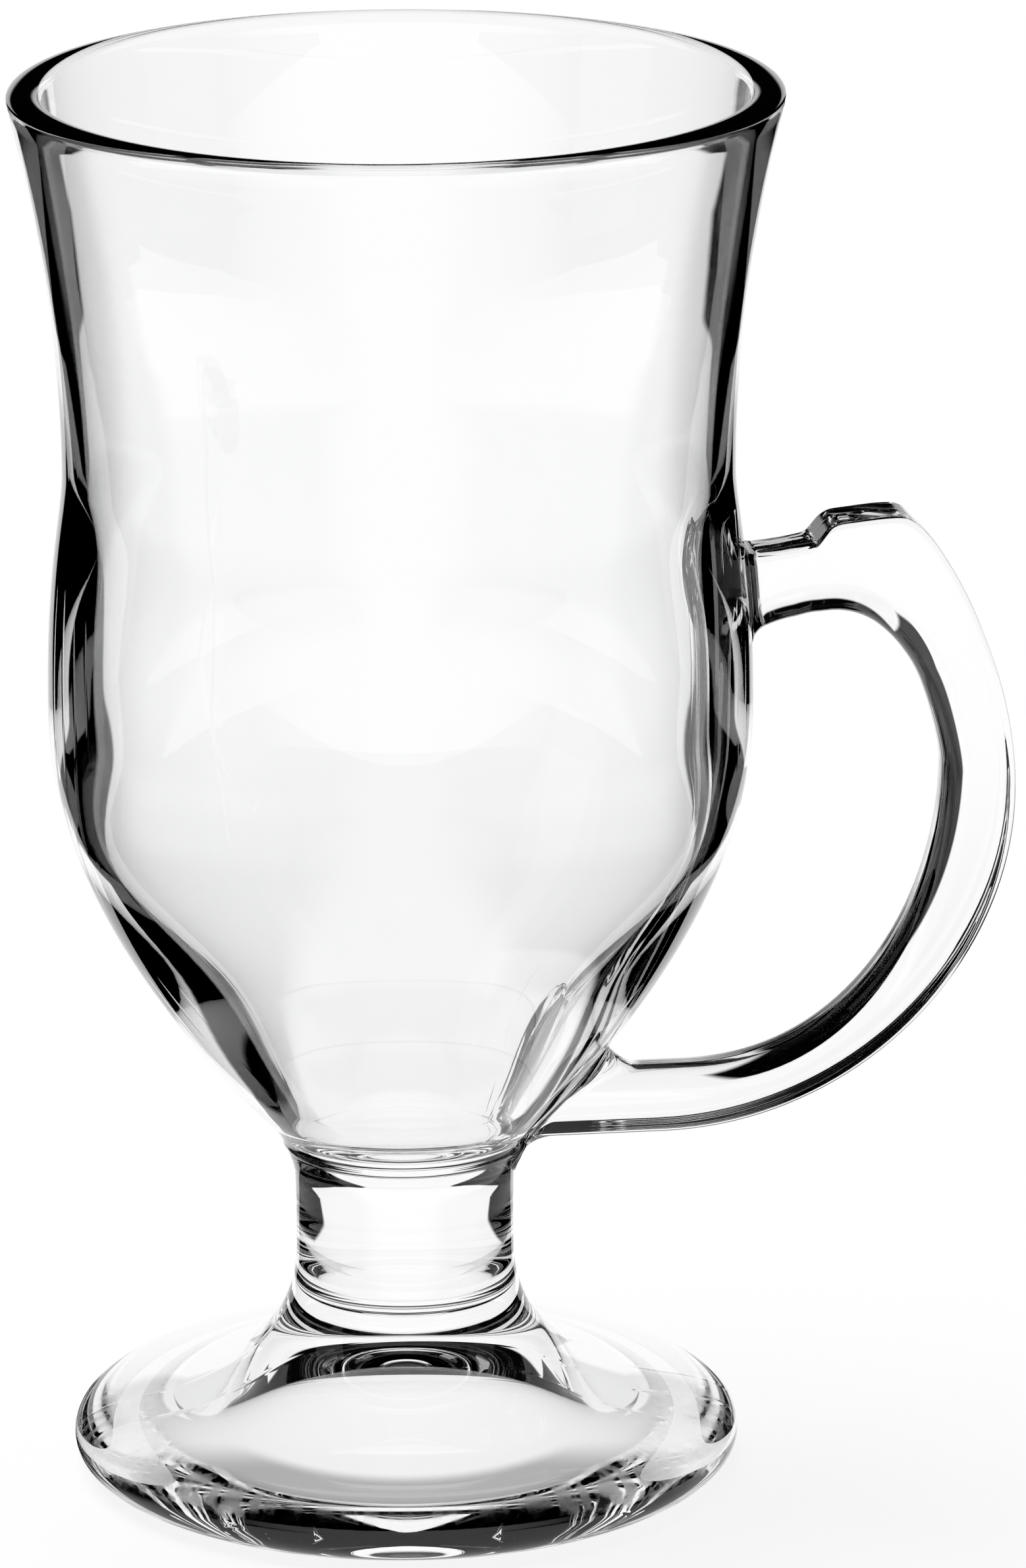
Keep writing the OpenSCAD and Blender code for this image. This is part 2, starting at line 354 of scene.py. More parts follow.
def heights():
    """Heights of the stem's and the bowl's joints and of the lip."""
    foot, bowl = bpy.context.scene.glass_mug_foot, bpy.context.scene.glass_mug_bowl
    seam = foot.foot_h + foot.stem_l
    return foot.foot_h, seam, seam + bowl.bowl_h


def bowl_outline(steps=26):
    """The outside of the bowl, from its joint with the stem to the crown of the lip."""
    foot, b = bpy.context.scene.glass_mug_foot, bpy.context.scene.glass_mug_bowl
    seam, lip = heights()[1:]
    flare = math.degrees(math.atan2(b.lip_d / 2 - b.waist_d / 2, b.bowl_h - b.waist_rise))
    line = chain([
        (foot.neck_d / 2, seam, 2), (b.neck_top_d / 2, seam + b.neck_h, 21),
        (b.heel_d / 2, seam + b.heel_rise, 40.5), (b.belly_d / 2, seam + b.belly_rise, 0),
        (b.waist_d / 2, seam + b.waist_rise, 0), (b.lip_d / 2, lip - b.lip_round, flare * 1.85),
        (b.lip_d / 2 - b.lip_w / 2, lip, -90)],
        [(0.4, 0.4), (0.3, 0.49), (0.35, 0.33), (0.63, 0.21), (0.41, 0.29), (0.4, 0.45)], steps)
    ridge_w = 0.00022
    step = (line[:, 1] - seam - b.neck_h) / ridge_w
    line[:, 0] = np.minimum(line[:, 0] + b.ridge * np.exp(-step * step), b.lip_d / 2)
    return line


def cavity_outline(steps=26):
    """The inside of the bowl, from the crown of the lip to the axis."""
    b = bpy.context.scene.glass_mug_bowl
    seam, lip = heights()[1:]
    waist = b.waist_d / 2 - b.waist_wall
    flare = math.degrees(math.atan2(b.lip_d / 2 - b.lip_w - waist, b.bowl_h - b.waist_rise))
    return chain([
        (b.lip_d / 2 - b.lip_w / 2, lip, -90),
        (b.lip_d / 2 - b.lip_w, lip - b.lip_round, 180 + flare * 1.5),
        (waist, seam + b.waist_rise, 181.5),
        (b.belly_d / 2 - b.belly_wall, seam + b.belly_rise, 182.5),
        (b.heel_d / 2 - b.heel_wall + b.heel_rise * 0.19, seam + b.heel_rise * 1.19, 218.5),
        (0, seam + b.floor_t, 270)],
        [(0.45, 0.4), (0.36, 0.36), (0.33, 0.33), (0.31, 0.7), (0.3, 0.72)], steps)


def stem_outline(steps=14):
    """The outside of the stem, from its joint with the foot up."""
    f = bpy.context.scene.glass_mug_foot
    low, seam = heights()[:2]
    return chain([
        (f.joint_d / 2, low, -20), (f.stem_d / 2, low + f.stem_l * 0.6, 0),
        (f.neck_d / 2, seam, 2)], [(0.4, 0.4), (0.4, 0.4)], steps)


def foot_outline(steps=26):
    """The outside of the foot, from the resting ring up to its joint with the stem."""
    f = bpy.context.scene.glass_mug_foot
    return chain([
        (f.rest_d / 2 + f.rest_w, 0, 90), (f.foot_d / 2, f.edge_h, 0),
        (f.foot_d / 2 * 0.66, f.foot_h * 0.5, -69.5), (f.joint_d / 2, f.foot_h, -20)],
        [(0.37, 0.37), (0.32, 0.31), (0.33, 0.4)], steps)


def hollow_outline(steps=48):
    """The hollow under the foot, from the axis to the resting ring: one cosine swell."""
    f = bpy.context.scene.glass_mug_foot
    s = np.arange(steps + 1) / steps
    return np.stack([f.rest_d / 2 * s, f.hollow_h * (1 + np.cos(np.pi * s)) / 2], axis=1)


def disc(radius, z, outward):
    """The rows of a flat joint face, without its edge."""
    r = radius * np.arange(0, 6) / 6
    return np.stack([r if outward else r[::-1], np.full(6, z)], axis=1)


# Pieces

def own(obj, node):
    """Ties a finished piece to its CAD node."""
    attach(obj, "root")
    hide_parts(node)


def lathe_tree():
    """The node tree that turns a meridian about Z: a grid takes its radius and height
    from the meridian's points, row by row, and closes at its seam and poles."""
    made = bpy.data.node_groups.get("glass_lathe")
    if made:
        return made
    tree = bpy.data.node_groups.new("glass_lathe", "GeometryNodeTree")
    for name, kind in (("Meridian", "Geometry"), ("Rows", "Int"), ("Columns", "Int"),
                       ("Low Joint", "Float"), ("High Joint", "Float"),
                       ("Glass", "Material"), ("Joint", "Material")):
        tree.interface.new_socket(name, in_out="INPUT", socket_type=f"NodeSocket{kind}")
    tree.interface.new_socket("Piece", in_out="OUTPUT", socket_type="NodeSocketGeometry")
    net = Net(tree)
    given = net.add("NodeGroupInput")
    rows, columns = given.pick("Rows"), given.pick("Columns")
    grid = net.add("GeometryNodeMeshGrid", None,
                   {"Vertices X": columns + 1, "Vertices Y": rows}, out="Mesh")
    index = net.add("GeometryNodeInputIndex")
    row = index.math("MODULO", index, rows)
    column = index.math("FLOOR", index / rows)
    point = net.add("GeometryNodeSampleIndex", {"data_type": "FLOAT_VECTOR"},
                    {"Geometry": given.pick("Meridian"),
                     "Value": net.add("GeometryNodeInputPosition"), "Index": row})
    part = net.add("ShaderNodeSeparateXYZ", None, {0: point})
    angle = column * (2 * math.pi) / columns
    spot = net.add("ShaderNodeCombineXYZ", None, {
        0: part * part.math("COSINE", angle), 1: part * part.math("SINE", angle),
        2: part.pick("Z")})
    shell = net.add("GeometryNodeSetPosition", None, {"Geometry": grid, "Position": spot})
    shell = net.add("GeometryNodeMergeByDistance", None,
                    {"Geometry": shell, "Distance": MERGE})
    height = net.add("ShaderNodeSeparateXYZ", None,
                     {0: net.add("GeometryNodeInputPosition")}).pick("Z")

    def near(level):
        return height.math("COMPARE", height, level, 1e-6)

    flat = near(given.pick("Low Joint")).most(near(given.pick("High Joint")))
    sharp = net.add("GeometryNodeInputMeshEdgeAngle")
    sharpest = 0.7  # radians between faces that still shade smoothly
    shell = net.add("GeometryNodeSetShadeSmooth", {"domain": "FACE"}, {"Geometry": shell})
    shell = net.add("GeometryNodeSetShadeSmooth", {"domain": "EDGE"}, {
        "Geometry": shell, "Selection": sharp.math("GREATER_THAN", sharp, sharpest),
        "Shade Smooth": False})
    shell = net.add("GeometryNodeRealizeInstances", None, {"Geometry": shell})
    shell = net.add("GeometryNodeSetMaterial", None,
                    {"Geometry": shell, "Material": given.pick("Glass")})
    shell = net.add("GeometryNodeSetMaterial", None,
                    {"Geometry": shell, "Selection": flat, "Material": given.pick("Joint")})
    net.add("NodeGroupOutput", None, {"Piece": shell})
    return tree


def lathe(name, line, joints):
    """Turns a meridian into a plain mesh object. The joints are the heights of the
    flat faces where other pieces are melted on."""
    line = line[np.r_[True, np.linalg.norm(np.diff(line, axis=0), axis=1) > MERGE]]
    line = np.where(np.abs(line) < 1e-9, 0.0, line)
    mesh = bpy.data.meshes.new(name + "_meridian")
    mesh.from_pydata([(r, 0, z) for r, z in line], [(i, i + 1) for i in range(len(line) - 1)], [])
    obj = bpy.data.objects.new(name, mesh)
    bpy.context.collection.objects.link(obj)
    modifier = obj.modifiers.new("Lathe", "NODES")
    modifier.node_group = lathe_tree()
    values = {"Rows": len(line), "Columns": COLUMNS, "Low Joint": joints[0],
              "High Joint": joints[-1], "Glass": clear_glass(), "Joint": fused_joint()}
    for item in modifier.node_group.interface.items_tree:
        if item.in_out == "INPUT" and item.name in values:
            modifier[item.identifier] = values[item.name]
    depsgraph = bpy.context.evaluated_depsgraph_get()
    plain = bpy.data.meshes.new_from_object(obj.evaluated_get(depsgraph))
    obj.modifiers.remove(modifier)
    obj.data = plain
    plain.name = name
    bpy.data.meshes.remove(mesh)
    if plain.materials[0] is None:
        plain.materials.pop(index=0)
    shape = bmesh.new()
    shape.from_mesh(plain)
    if shape.calc_volume(signed=True) < 0:
        bmesh.ops.reverse_faces(shape, faces=shape.faces)
        shape.to_mesh(plain)
    shape.free()
    return obj


def handle_edges(radius):
    """Rows of (x, z, lean) and pulls of the outer and the inner edge; radius gives the
    bowl's at a height. The upper arm falls a little towards the bowl, the ring starts
    at a shoulder past the thumb rest, and the lower arm runs back level. Both edges
    run on into the bowl, and the skin ends at its surface."""
    h, b = bpy.context.scene.glass_mug_handle, bpy.context.scene.glass_mug_bowl
    seam = heights()[1]
    belly = b.belly_d / 2
    arm, reach, low = seam + h.arm_rise, seam + h.reach_rise, seam + h.low_rise
    root = radius(arm) - h.run_on
    notch, reach_x = belly + h.arm_l, belly + h.finger_gap + h.ring_w
    thumb_x, thumb = notch + h.thumb_l, arm + h.thumb_h
    shoulder_x, shoulder = thumb_x + SHOULDER_OUT, thumb - SHOULDER_DOWN
    run_x = radius(low) + LOW_RUN
    outer = [
        (root, arm - 0.0009, 88), (notch, arm, 77),
        (notch + THUMB_STEP, arm + h.thumb_h * 0.85, 85),
        (thumb_x, thumb, 91), (shoulder_x, shoulder, 148),
        (shoulder_x + (reach_x - shoulder_x) * 0.63, shoulder + (reach - shoulder) * 0.4, 160),
        (reach_x, reach, 180), (run_x, low, 270), (radius(low) - h.run_on, low, 270)]
    outer_pulls = [(0.33, 0.33), (0.31, 0.5), (0.33, 0.33), (0.33, 0.2), (0.37, 0.3),
                   (0.51, 0.12), (0.37, 0.4), (0.33, 0.33)]
    eye_x, eye, eye_low = belly + h.finger_gap, arm - h.arm_h, low + h.low_h
    wide, tall = eye_x - notch, eye - reach
    inner = [(root, eye - EYE_FALL, 62), (notch - h.arm_l * 0.29, eye - EYE_FALL * 0.12, 80)]
    inner += [(notch + wide * u, eye - tall * v, lean) for u, v, lean in (
        (0.06, 0.005, 87), (0.24, 0, 96), (0.53, 0.086, 129), (0.84, 0.396, 158))]
    inner += [(eye_x, reach + 0.0025, 180), (run_x + 0.003, eye_low, 270),
              (radius(eye_low) - h.run_on, eye_low, 270)]
    inner_pulls = [(0.33, 0.33), (0.33, 0.33), (0.33, 0.33), (0.35, 0.35), (0.33, 0.33),
                   (0.31, 0.21), (0.36, 0.42), (0.33, 0.33)]
    return (outer, outer_pulls), (inner, inner_pulls)


def handle_rails():
    """The places round the section: (corner, next corner, share between them, angle)."""
    rails = []
    for q in range(4):
        rails += [(q, q, 0.0, 90 * (q + k / CORNER_STEPS)) for k in range(CORNER_STEPS + 1)]
        between = (0.03, 0.2, 0.4, 0.6, 0.8, 0.97) if q % 2 == 0 else (0.04, 0.28, 0.5, 0.72, 0.96)
        rails += [(q, (q + 1) % 4, share, 90 * (q + 1)) for share in between]
    return rails


def rail_points(rail, t, edges, radius):
    """Points of one rail at the places t. The section is a rectangle with rounded
    corners between the two edges. Near the bowl a point moves out along its own
    normal, up or down and sideways, which makes the fillet."""
    h = bpy.context.scene.glass_mug_handle
    outer, inner = (chain_at(rows, pulls, t) for rows, pulls in edges)
    middle, across = (outer + inner) / 2, outer - inner
    wide = np.linalg.norm(across, axis=1)[:, None]
    u = across / wide
    angle = math.radians(rail[3])
    low_from, low_over = 5.7, 0.8  # where the lower rounding takes over, as places t
    down = np.clip((np.atleast_1d(t) - low_from) / low_over, 0, 1)
    outer_bend = h.outer_round + (h.low_round - h.outer_round) * down * down * (3 - 2 * down)

    def corner(q):
        side_u, side_y = ((1, 1), (-1, 1), (-1, -1), (1, -1))[q]
        bend = outer_bend if side_u > 0 else np.full(len(wide), h.inner_round)
        out = side_u * (wide[:, 0] / 2 - bend) + bend * math.cos(angle)
        return middle + u * out[:, None], side_y * (h.depth / 2 - bend) + bend * math.sin(angle)

    (p, y), (p2, y2) = corner(rail[0]), corner(rail[1])
    p, y = p + (p2 - p) * rail[2], y + (y2 - y) * rail[2]
    level = np.sign(u[:, 1])
    up = level * math.cos(angle)
    low = h.root_fillet + (h.low_fillet - h.root_fillet) * math.cos(angle)**2
    fillet = np.where(level > 0, h.root_fillet, low)
    off = np.hypot(p[:, 0], y) - radius(p[:, 1] + fillet * up)
    s = np.clip(1 - np.maximum(off, 0) / fillet, 0, 1)
    g = fillet * (1 - np.sqrt(1 - s * s))
    return np.stack([p[:, 0], y + g * math.sin(angle), p[:, 1] + g * up], axis=1)


def rail_end(rail, inside, outside, edges, radius):
    """The place t at which a rail meets the bowl, between two places."""
    def off(t):
        p = rail_points(rail, t, edges, radius)
        return np.hypot(p[:, 0], p[:, 1]) - radius(p[:, 2])

    t = np.linspace(outside, inside, 241)
    first = int(np.argmax(off(t) <= 0))
    a, b = t[first - 1], t[first]
    for _ in range(40):
        mid = (a + b) / 2
        a, b = (mid, b) if off(mid)[0] > 0 else (a, mid)
    return b


def end_rows(rail, end, start, rows, edges, radius):
    """Evenly spaced points on a rail from the bowl's surface to a common place."""
    t = end + (start - end) * np.linspace(0, 1, 500)**2
    p = rail_points(rail, t, edges, radius)
    run = np.r_[0, np.cumsum(np.linalg.norm(np.diff(p, axis=0), axis=1))]
    want = np.linspace(0, run[-1], rows + 1)[:-1]
    p = np.stack([np.interp(want, run, p[:, i]) for i in range(3)], axis=1)
    p[0, :2] *= radius(p[0, 2]) / np.hypot(*p[0, :2])
    return p


def handle_skin(radius):
    """The handle's skin as an array of rows by rails, from the upper to the lower root."""
    edges, rails = handle_edges(radius), handle_rails()
    steps = (10, 10, 14, 14, 16, 40)
    middle = np.concatenate([1 + k + np.arange(n) / n for k, n in enumerate(steps)] + [[7.0]])
    skin = []
    for rail in rails:
        top = rail_end(rail, 0.0, 1.0, edges, radius)
        foot = rail_end(rail, 8.0, 7.0, edges, radius)
        skin.append(np.concatenate([
            end_rows(rail, top, 1.0, TOP_ROWS, edges, radius),
            rail_points(rail, middle, edges, radius),
            end_rows(rail, foot, 7.0, LOW_ROWS, edges, radius)[::-1]]))
    return np.array(skin).transpose(1, 0, 2)


def bowl_skin():
    """Heights, radii and slopes of the bowl's outside, up to its widest place."""
    line = bowl_outline(FINE_STEPS)
    slope = np.gradient(line[:, 0], line[:, 1])
    keep = int(np.argmax(line[:, 0] >= line[:, 0].max())) + 1
    return line[:keep, 1], line[:keep, 0], slope[:keep]


def outline_radius():
    """A function that gives the bowl's outer radius at a height."""
    level, wide, _ = bowl_skin()
    return lambda z: np.interp(z, level, wide)


def inside(point, ring):
    """Whether a flat point lies in a closed ring of points."""
    x, y = point
    a, b = ring, np.roll(ring, -1, axis=0)
    cross = (a[:, 1] > y) != (b[:, 1] > y)
    slope = (b[:, 0] - a[:, 0]) / np.where(cross, b[:, 1] - a[:, 1], 1)
    return bool(np.sum(cross & (x < a[:, 0] + (y - a[:, 1]) * slope)) % 2)


def cut_window(shape, ring, radius, joint_slot):
    """Opens the bowl's outside round a root, and closes it again with triangles that
    follow the ring. Returns the triangles inside the ring, as points."""
    mean = float(np.mean(radius(ring[:, 2])))

    def flat(p):
        return np.array([math.atan2(p[1], p[0]) * mean, p[2]]) * 1000

    line = np.array([flat(p) for p in ring])
    low, high = line.min(0) - WINDOW_MARGIN, line.max(0) + WINDOW_MARGIN
    gone = []
    for face in shape.faces:
        c = face.calc_center_median()
        if c.x > 0 and math.hypot(c.x, c.y) > radius(c.z) - ON_SKIN:
            u, v = flat(c)
            if low[0] < u < high[0] and low[1] < v < high[1]:
                gone.append(face)
    marked = set(gone)
    border = {e for f in gone for e in f.edges if any(o not in marked for o in e.link_faces)}
    rim = {v for e in border for v in e.verts}
    inner = {v for f in gone for v in f.verts} - rim
    points, source = [], []
    for v in [*rim, *inner]:
        p = flat(v.co)
        if v in rim or np.min(np.linalg.norm(line - p, axis=1)) > WINDOW_CLEAR:
            points.append(p)
            source.append(v)
    order = {v: i for i, v in enumerate(source)}
    lines = [(order[e.verts[0]], order[e.verts[1]]) for e in border]
    base = len(points)
    n = len(line)
    points += list(line)
    source += [shape.verts.new(p) for p in ring]
    lines += [(base + i, base + (i + 1) % n) for i in range(n)]
    out, _, faces, origin, _, _ = delaunay_2d_cdt([Vector(p) for p in points], lines, [], 0, 1e-6)
    bmesh.ops.delete(shape, geom=gone, context="FACES_ONLY")
    spot = [source[o[0]] if o else None for o in origin]
    patch = []
    for face in faces:
        corners = [spot[i] for i in face]
        if None in corners or len(set(corners)) < 3:
            raise RuntimeError("the bowl's window has a corner that is not one of its points")
        made = shape.faces.new(corners)
        made.smooth = True
        made.normal_update()
        c = made.calc_center_median()
        if made.normal.dot(Vector((c.x, c.y, 0))) < 0:
            made.normal_flip()
        if inside(np.mean([out[i] for i in face], axis=0), line):
            made.material_index = joint_slot
            patch.append([v.co.copy() for v in made.verts])
    loose = [v for v in inner if v.is_valid and not v.link_faces]
    bmesh.ops.delete(shape, geom=loose, context="VERTS")
    return patch


def set_normals(mesh, radius, windows):
    """Gives the re-cut faces of the bowl the true normals of a turned surface."""
    level, _, slope = bowl_skin()
    normals = np.zeros((len(mesh.loops), 3))
    for face in mesh.polygons:
        c = face.center
        if not any(lo < c.z < hi and abs(math.atan2(c.y, c.x)) < reach
                   for lo, hi, reach in windows):
            continue
        if math.hypot(c.x, c.y) < radius(c.z) - ON_SKIN:
            continue
        for i in face.loop_indices:
            p = mesh.vertices[mesh.loops[i].vertex_index].co
            r = math.hypot(p.x, p.y)
            n = Vector((p.x / r, p.y / r, -float(np.interp(p.z, level, slope))))
            normals[i] = n.normalized()
    mesh.normals_split_custom_set(normals.tolist())


class GLASSMUG_OT_foot(bpy.types.Operator):
    """Makes the domed foot"""
    bl_idname = "glass_mug.foot"
    bl_label = "Foot"

    def execute(self, context):
        f = context.scene.glass_mug_foot
        ring = np.linspace(f.rest_d / 2, f.rest_d / 2 + f.rest_w, 5)[1:-1]
        flat = np.stack([ring, np.zeros(3)], axis=1)
        line = np.concatenate([hollow_outline(), flat, foot_outline(),
                               disc(f.joint_d / 2, f.foot_h, False)])
        own(lathe("foot_glass", line, (f.foot_h,)), "foot")
        return {"FINISHED"}


class GLASSMUG_OT_stem(bpy.types.Operator):
    """Makes the short solid stem"""
    bl_idname = "glass_mug.stem"
    bl_label = "Stem"

    def execute(self, context):
        f = context.scene.glass_mug_foot
        low, seam = heights()[:2]
        line = np.concatenate([disc(f.joint_d / 2, low, True), stem_outline(),
                               disc(f.neck_d / 2, seam, False)])
        own(lathe("stem_glass", line, (low, seam)), "stem")
        return {"FINISHED"}


class GLASSMUG_OT_bowl(bpy.types.Operator):
    """Makes the bowl, and the handle that is joined to it"""
    bl_idname = "glass_mug.bowl"
    bl_label = "Bowl and handle"

    def execute(self, context):
        seam = heights()[1]
        neck = context.scene.glass_mug_foot.neck_d / 2
        line = np.concatenate([disc(neck, seam, True), bowl_outline(), cavity_outline()])
        bowl = lathe("bowl_glass", line, (seam,))
        radius = outline_radius()
        skin = handle_skin(radius)
        slot = bowl.data.materials.find("fused_joint")
        shape = bmesh.new()
        shape.from_mesh(bowl.data)
        caps, windows = [], []
        for ring in (skin[0], skin[-1]):
            caps.append(cut_window(shape, ring, radius, slot))
            z = ring[:, 2]
            reach = (np.abs(np.arctan2(ring[:, 1], ring[:, 0])).max()
                     + ROOT_MARGIN / radius(z).min())
            windows.append((z.min() - ROOT_MARGIN, z.max() + ROOT_MARGIN, reach))
        shape.to_mesh(bowl.data)
        shape.free()
        set_normals(bowl.data, radius, windows)
        own(bowl, "bowl")
        make_handle(skin, caps)
        return {"FINISHED"}


def make_handle(skin, caps):
    """Builds the handle's mesh from its skin and the two faces it shares with the bowl."""
    rows, rails = skin.shape[:2]
    shape = bmesh.new()
    grid = [[shape.verts.new(p) for p in row] for row in skin]
    for j in range(rows - 1):
        for k in range(rails):
            n = (k + 1) % rails
            face = shape.faces.new((grid[j][k], grid[j][n], grid[j + 1][n], grid[j + 1][k]))
            face.smooth = True
    for cap in caps:
        for corners in cap:
            face = shape.faces.new([shape.verts.new(p) for p in reversed(corners)])
            face.material_index = 1
            face.smooth = True
    bmesh.ops.remove_doubles(shape, verts=shape.verts, dist=MERGE)
    bmesh.ops.recalc_face_normals(shape, faces=shape.faces)
    for edge in shape.edges:
        if len({f.material_index for f in edge.link_faces}) > 1:
            edge.smooth = False
    mesh = bpy.data.meshes.new("handle_glass")
    shape.to_mesh(mesh)
    shape.free()
    mesh.materials.append(clear_glass())
    mesh.materials.append(fused_joint())
    obj = bpy.data.objects.new("handle_glass", mesh)
    bpy.context.collection.objects.link(obj)
    own(obj, "handle")


# Stage

def plain(name, corners, material, parent, seen=True):
    """A flat sheet of the stage, which turns with the camera."""
    mesh = bpy.data.meshes.new(name)
    mesh.from_pydata(corners, [], [tuple(range(len(corners)))])
    mesh.materials.append(material)
    obj = bpy.data.objects.new(name, mesh)
    bpy.context.collection.objects.link(obj)
    obj.parent = parent
    obj.visible_camera = seen
    obj.visible_shadow = False


def glow(net, level):
    """Plain white light of this level."""
    return net.add("ShaderNodeEmission", None, {"Strength": level})


def strip(s, across, y, widen=0.0):
    """The light table's own light: a white strip that widens behind the mug, and swells
    for a stretch. All else is dark, and draws the glass's outlines."""
    start_edge, end_edge, soft_before, soft_least = 0.02, 0.05, 0.5, 0.002
    behind, before = y.most(0.0), (0 - y).most(0.0)
    x = abs(across + behind * s.strip_turn)
    soft = behind * s.soft + before * soft_before + soft_least
    run = (y.ease(s.swell_start - start_edge, s.swell_start + start_edge)
           - y.ease(s.swell_end - end_edge, s.swell_end + end_edge))
    half = (y * s.strip_spread + s.strip_w).most(s.strip_least) + run * s.swell + widen
    return 1 - ((x - half) / soft).ease(0.0, 1.0)


def floor_material(s):
    """White to the camera, with the mug's shadow. In and through the glass it is a
    light table with dark sides, which gives clear glass its dark outlines."""
    material, net = new_material("stage_floor")
    place = net.add("ShaderNodeTexCoord").pick("Object")
    xyz = net.add("ShaderNodeSeparateXYZ", None, {0: place})
    x, y = abs(xyz), xyz.pick("Y")
    around = net.add("ShaderNodeVectorMath", {"operation": "LENGTH"}, {0: place}, out="Value")
    fade_y, fade_r, patch_edge, patch_side = 0.1, 0.12, 0.006, 0.01
    front = ((x * s.front_slope - y).ease(s.front_y, s.front_y + fade_y)
             * around.ease(s.front_r, s.front_r + fade_r))
    # Painted shadow under the foot, a crescent before the axis: its inner, front and outer edges
    inner, near, outer = (0.0175, 0.02), (0.008, 0.016), (0.028, 0.032)
    shade = around.ease(*inner) * (0 - y).ease(*near) * s.under
    shade = shade * (1 - around.ease(*outer))
    patch = (1 - around.ease(s.patch, s.patch + patch_edge)) * xyz.ease(0.0, patch_side)
    table = glow(net, strip(s, xyz, y).most(front).most(patch) * (1 - shade))
    rays = net.add("ShaderNodeLightPath")
    bare = net.add("ShaderNodeAddShader", None, {
        0: glow(net, 1.0 - s.shadow),
        1: net.add("ShaderNodeBsdfDiffuse", None, {"Color": (s.shadow,) * 3 + (1.0,)})})
    seen = net.add("ShaderNodeMixShader", None, {0: rays, 1: table, 2: bare})
    below = net.add("ShaderNodeNewGeometry").pick("Backfacing")
    finish_material(net, net.add("ShaderNodeMixShader", None, {
        0: below, 1: seen, 2: net.add("ShaderNodeBsdfTransparent")}))
    return material


def backdrop_material(s):
    """The upright part of the light table, as the glass shows it."""
    material, net = new_material("stage_backdrop")
    place = net.add("ShaderNodeTexCoord").pick("Object")
    xyz = net.add("ShaderNodeSeparateXYZ", None, {0: place})
    z = xyz.pick("Z")
    lit = strip(s, xyz, xyz.pick("Y"), z * s.back_spread)
    top = 1 - z.ease(s.back_h * 0.8, s.back_h)  # its upper fifth fades
    finish_material(net, glow(net, lit * top))
    return material


def panel_material(name, level, width=0.0):
    """A soft box, which fades to its sides where a half width is given."""
    material, net = new_material(name)
    if width:
        place = net.add("ShaderNodeTexCoord").pick("Object")
        x = abs(net.add("ShaderNodeSeparateXYZ", None, {0: place}))
        level = (1 - x.ease(width * 0.15, width)) * level
    finish_material(net, glow(net, level))
    return material


def make_camera(s):
    """The camera, fitted to the ellipses of the rim, the neck and the foot."""
    e = s.elevation
    ahead = Vector((0, math.cos(e), -math.sin(e)))
    right = Vector((1, 0, 0))
    up = right.cross(ahead)
    across = math.cos(s.roll) * right + math.sin(s.roll) * up
    upward = -math.sin(s.roll) * right + math.cos(s.roll) * up
    place = Vector((s.aim_x, 0, s.aim_z)) - ahead * s.distance
    pose = Matrix((across, upward, -ahead)).transposed().to_4x4()
    pose.translation = place
    data = bpy.data.cameras.new("camera")
    data.lens, data.sensor_width = s.lens, 36.0
    data.clip_start, data.clip_end = 0.01, 100.0
    camera = bpy.data.objects.new("camera", data)
    bpy.context.collection.objects.link(camera)
    camera.matrix_world = Matrix.Rotation(s.azimuth, 4, "Z") @ pose
    bpy.context.scene.camera = camera
    return camera


def make_lamp():
    """A wide soft sun at plain level, which gives the floor its shadow. The glass
    doesn't mirror it."""
    lamp = bpy.data.lights.new("soft_lamp", "SUN")
    lamp.energy, lamp.angle = math.pi, math.radians(50)
    lamp_object = bpy.data.objects.new("soft_lamp", lamp)
    lamp_object.rotation_euler = (math.radians(-14), math.radians(-12), 0)
    lamp_object.visible_glossy = lamp_object.visible_transmission = False
    bpy.context.collection.objects.link(lamp_object)


def make_world(room):
    """White to the camera, and a dark room to all else."""
    world = bpy.data.worlds.new("studio")
    world.use_nodes = True
    world.node_tree.nodes.clear()
    net = Net(world.node_tree)
    rays = net.add("ShaderNodeLightPath")
    back = net.add("ShaderNodeBackground", None, {"Strength": rays.most(room)})
    net.add("ShaderNodeOutputWorld", None, {"Surface": back})
    bpy.context.scene.world = world


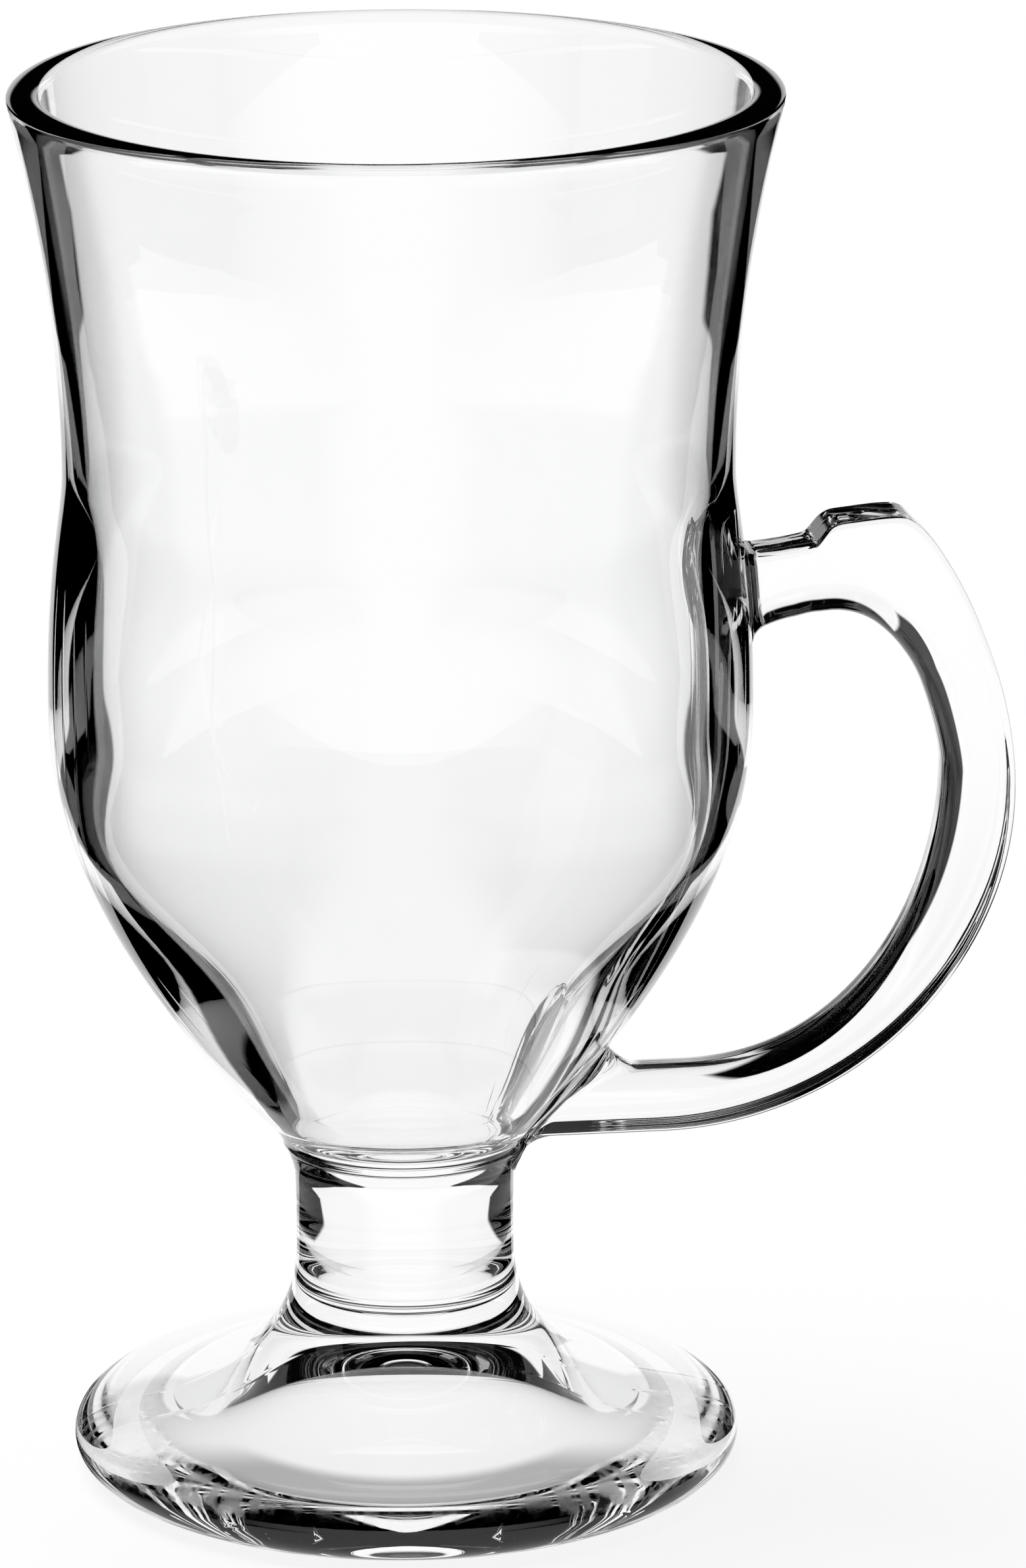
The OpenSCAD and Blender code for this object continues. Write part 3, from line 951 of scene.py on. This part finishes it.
class GLASSMUG_OT_stage(bpy.types.Operator):
    """Makes the camera, the floor, the light table and its lamp"""
    bl_idname = "glass_mug.stage"
    bl_label = "Stage"

    def execute(self, context):
        s = context.scene.glass_mug_stage
        camera = make_camera(s)
        table = bpy.data.objects.new("turntable", None)
        context.collection.objects.link(table)
        turn_with = table.constraints.new("COPY_ROTATION")
        turn_with.target = camera
        turn_with.use_x = turn_with.use_y = False
        r = s.floor_r
        plain("floor", [(-r, -r, 0), (r, -r, 0), (r, r, 0), (-r, r, 0)],
              floor_material(s), table)
        w, y, lift, h = 3, s.back_y, 0.0005, s.back_h
        plain("backdrop", [(-w, y, lift), (w, y, lift), (w, y, h), (-w, y, h)],
              backdrop_material(s), table, seen=False)
        w, y, h = s.front_w, -2.2, 1.0
        plain("front_panel", [(-w, y, 0), (w, y, 0), (w, y, h), (-w, y, h)],
              panel_material("stage_front", s.front, w), table, seen=False)
        y, low, high = -0.42, 0.25, 0.8
        for name, x, level in (("left_box", -0.8, s.left), ("right_box", 0.8, s.right)):
            plain(name, [(x, y, low), (x, 0, low), (x, 0, high), (x, y, high)],
                  panel_material("stage_" + name, level), table, seen=False)
        make_lamp()
        make_world(s.room)
        context.scene.view_settings.view_transform = "Standard"
        return {"FINISHED"}


class GLASSMUG_PT_panel(bpy.types.Panel):
    """Lists the mug's sizes and its makers"""
    bl_idname = "GLASSMUG_PT_panel"
    bl_label = "Glass mug"
    bl_space_type = "VIEW_3D"
    bl_region_type = "UI"
    bl_category = "Glass mug"

    def draw(self, context):
        for group, makers in PANEL_ROWS:
            box = self.layout.box()
            values = getattr(context.scene, group)
            for name in values.bl_rna.properties.keys():
                if name not in ("rna_type", "name"):
                    box.prop(values, name)
            for maker in makers:
                box.operator(maker)


GROUPS = {
    "glass_mug_foot": GlassMugFoot,
    "glass_mug_bowl": GlassMugBowl,
    "glass_mug_handle": GlassMugHandle,
    "glass_mug_finish": GlassMugFinish,
    "glass_mug_stage": GlassMugStage,
}
PANEL_ROWS = [
    ("glass_mug_foot", ["glass_mug.foot", "glass_mug.stem"]),
    ("glass_mug_bowl", ["glass_mug.bowl"]),
    ("glass_mug_handle", []),
    ("glass_mug_finish", []),
    ("glass_mug_stage", ["glass_mug.stage"]),
]
CLASSES = [*GROUPS.values(), GLASSMUG_OT_foot, GLASSMUG_OT_stem, GLASSMUG_OT_bowl,
           GLASSMUG_OT_stage, GLASSMUG_PT_panel]


def register():
    """Registers the classes, and hangs the groups of sizes on the scene."""
    for cls in CLASSES:
        bpy.utils.register_class(cls)
    for name, cls in GROUPS.items():
        setattr(bpy.types.Scene, name, bpy.props.PointerProperty(type=cls))


def unregister():
    """Takes both away again."""
    for name in GROUPS:
        delattr(bpy.types.Scene, name)
    for cls in reversed(CLASSES):
        bpy.utils.unregister_class(cls)


def main():
    """Makes the pieces and the stage in order."""
    register()
    bpy.ops.glass_mug.foot()
    bpy.ops.glass_mug.stem()
    bpy.ops.glass_mug.bowl()
    bpy.ops.glass_mug.stage()


if __name__ == "__main__":
    main()
